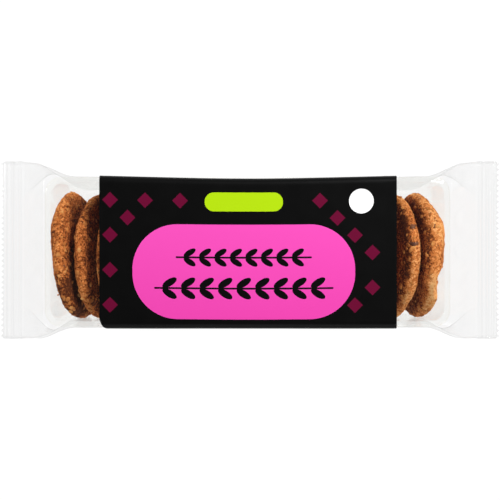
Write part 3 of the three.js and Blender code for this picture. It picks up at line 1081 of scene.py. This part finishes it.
crust = baked_crust()
faces_of_row = []  # where something may be pressed into a cookie: place and normal
for number in range(COOKIES):
    cookie = Cookie(number)
    dough = cookie_mesh(cookie)
    centre = cookie.pose.translation
    axis = (cookie.pose.to_3x3() @ Vector((1, 0, 0))).normalized()
    for vert in dough.verts:
        off = vert.co - centre
        from_axis = (off - axis * off.dot(axis)).length
        end_face = number in (0, COOKIES - 1) and off.dot(axis) * (number * 2 - COOKIES + 1) > 0
        if from_axis > cookie.radius - EDGE_BAND or end_face:
            faces_of_row.append((vert.co.copy(), vert.normal.copy()))
    piece = to_object(f"cookie_{number + 1:02d}", dough, crust)
    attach(piece, "root")
    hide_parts("film_wrap")

# The oat flakes. Rolled oats that show at the cookies' surface: steamed groats pressed flat, pale
# and a little curled, half sunk in the dough.

FLAKES = 1700
FLAKE_LENGTH = (1.3, 3.2)
FLAKE_THICKNESS = 0.5
FLAKE_OUT = 0.05
FLAKE_TIP = 16  # degrees that one side of a flake may stand up
FLAKE_SPOTS = [  # some that show on the end cookies
    (-92.8, 20.6), (-91.4, 18), (-93.3, 4.4), (-92.5, -3), (90.6, 20), (91.5, 12), (90, -4),
]
SPOT_REACH = 0.8


def top_at(x, y):
    """The highest place on the cookies at about this place on the plan, and its normal."""
    near = [
        (place, normal) for place, normal in faces_of_row
        if abs(place.x - x) < SPOT_REACH and abs(place.y - y) < SPOT_REACH
    ]
    return max(near, key=lambda pair: pair[0].z)


flake_places = [top_at(*spot) for spot in FLAKE_SPOTS]


def upright(normal, draw):
    """A random turn that lays a piece flat on a surface with this normal."""
    lay = normal.to_track_quat("Z", "Y").to_matrix().to_4x4()
    return lay @ Matrix.Rotation(draw.uniform(0, 2 * pi), 4, "Z")


def scatter(seed_shape, count, seed, shape_one):
    """Copies of a small shape in one mesh. shape_one alters a copy and returns where it goes."""
    draw = random.Random(seed)
    joined = bmesh.new()
    carrier = bpy.data.meshes.new("carrier")
    for _ in range(count):
        one = seed_shape.copy()
        matrix = shape_one(one, draw)
        bmesh.ops.transform(one, matrix=matrix, verts=one.verts)
        one.to_mesh(carrier)
        one.free()
        joined.from_mesh(carrier)
    bpy.data.meshes.remove(carrier)
    seed_shape.free()
    return joined


def shape_flake(flake, draw):
    place, normal = flake_places.pop() if flake_places else draw.choice(faces_of_row)
    length = draw.uniform(*FLAKE_LENGTH)
    width = length * draw.uniform(0.55, 0.8)
    curl = draw.uniform(-0.5, 0.5)
    for vert in flake.verts:
        vert.co.x *= 1 + 0.16 * noise.noise(vert.co * 1.5 + place)
        vert.co.z += curl * vert.co.x ** 2
    size = Matrix.Diagonal((length / 2, width / 2, FLAKE_THICKNESS / 2, 1))
    tip = Matrix.Rotation(radians(draw.uniform(-FLAKE_TIP, FLAKE_TIP)), 4, "X")
    return Matrix.Translation(place + normal * FLAKE_OUT) @ upright(normal, draw) @ tip @ size


OAT_STOPS = [(0.32, "#a65f2a"), (0.55, "#c98242"), (0.75, "#e3ac66")]


def rolled_oats():
    """Toasted oats: dull, paler than the dough, and faintly streaked by their fibres."""
    material, tree = new_material("toasted_rolled_oats")
    place = add(tree, "TexCoord").outputs["Object"]
    toast = add(tree, "TexNoise", {"Vector": place, "Scale": per_metre(5), "Detail": 3})
    ramp = add(tree, "ValToRGB", {"Fac": toast})
    set_stops(ramp, [(position, srgb(code)) for position, code in OAT_STOPS])
    fibre = add(tree, "TexNoise", {"Vector": place, "Scale": per_metre(0.7), "Detail": 3})
    bump = add(tree, "Bump", {"Height": fibre, "Strength": 0.5, "Distance": 0.25 * MM})
    shader = add(tree, "BsdfPrincipled", {
        "Base Color": ramp, "Roughness": 0.75, "Specular IOR Level": 0.15, "Normal": bump,
    })
    set_surface(tree, shader)
    return material


flake = bmesh.new()
bmesh.ops.create_uvsphere(flake, u_segments=9, v_segments=5, radius=1)
flakes = to_object("oat_flakes", scatter(flake, FLAKES, 31, shape_flake), rolled_oats())
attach(flakes, "root")
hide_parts("film_wrap")

# The sultanas. Dried grapes that were stirred into the dough, and baked half sunk in it: brown,
# wrinkled and a little sticky.

SULTANAS = 50
SULTANA_SIZE = (2.7, 1.9, 1.5)  # half sizes
SULTANA_SUNK = 1.3  # depth of its middle in the dough
SULTANA_SPOTS = [(91.4, 0.8), (79.2, 3.8)]  # two that show on the cookies at the right end

sultana_places = [top_at(*spot) for spot in SULTANA_SPOTS]


def shape_sultana(sultana, draw):
    place, normal = sultana_places.pop() if sultana_places else draw.choice(faces_of_row)
    for vert in sultana.verts:
        fold = abs(noise.noise(vert.co * 1.9 + place))
        vert.co *= 0.86 + 0.55 * fold
    scale = draw.uniform(0.7, 1.05)
    size = Matrix.Diagonal(tuple(half * scale for half in SULTANA_SIZE) + (1,))
    return Matrix.Translation(place - normal * SULTANA_SUNK) @ upright(normal, draw) @ size


SULTANA_STOPS = [(0.35, "#4d2816"), (0.75, "#8a522b")]
SULTANA_WRINKLE = 1.6


def dried_grape_skin():
    """Dried grape skin: brown and folded, with a soft shine on the folds."""
    material, tree = new_material("dried_grape_skin")
    place = add(tree, "TexCoord").outputs["Object"]
    blush = add(tree, "TexNoise", {"Vector": place, "Scale": per_metre(3), "Detail": 3})
    ramp = add(tree, "ValToRGB", {"Fac": blush})
    set_stops(ramp, [(position, srgb(code)) for position, code in SULTANA_STOPS])
    wrinkle = add(tree, "TexVoronoi", {
        "Vector": place,
        "Scale": per_metre(SULTANA_WRINKLE),
    }, feature="DISTANCE_TO_EDGE")
    bump = add(tree, "Bump", {"Height": wrinkle, "Strength": 0.5, "Distance": 0.4 * MM})
    shader = add(tree, "BsdfPrincipled", {
        "Base Color": ramp, "Roughness": 0.5, "Specular IOR Level": 0.25, "Normal": bump,
    })
    set_surface(tree, shader)
    return material


sultana = bmesh.new()
bmesh.ops.create_icosphere(sultana, subdivisions=3, radius=1)
sultanas = to_object("sultanas", scatter(sultana, SULTANAS, 77, shape_sultana), dried_grape_skin())
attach(sultanas, "root")
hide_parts("film_wrap")

# The crumbs. Bits that rubbed off the cookies on the way: most lie on the tray's floor at its ends,
# and some cling to its fluted end walls.

CRUMBS = 170
CRUMB_HALF = (0.25, 0.85)
CRUMBS_ON_WALL = 0.45  # share of them
CRUMB_OFF = 2  # from the end wall's top edge to a crumb that clings to the wall


def crumb_place(draw):
    side = draw.choice((-1, 1))
    end = tray_left if side < 0 else tray_right
    y = TRAY_SHIFT + draw.uniform(-0.8, 0.8) * (tray_half - 8)
    if draw.random() < CRUMBS_ON_WALL:
        z = draw.uniform(8, tray_top - 4)
        return Vector((end - side * (RIM_BAND + CRUMB_OFF + (tray_top - z) * TRAY_END_LEAN), y, z))
    return Vector((end - side * draw.uniform(24, 34), y, tray_floor + 1.2))


def shape_crumb(crumb, draw):
    place = crumb_place(draw)
    for vert in crumb.verts:
        vert.co *= 1 + 0.6 * noise.noise(vert.co * 1.2 + place)
    return Matrix.Translation(place) @ Matrix.Scale(draw.uniform(*CRUMB_HALF), 4)


crumb = bmesh.new()
bmesh.ops.create_icosphere(crumb, subdivisions=2, radius=1)
crumbs = to_object("crumbs", scatter(crumb, CRUMBS, 5, shape_crumb), crust)
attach(crumbs, "root")
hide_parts("film_wrap")
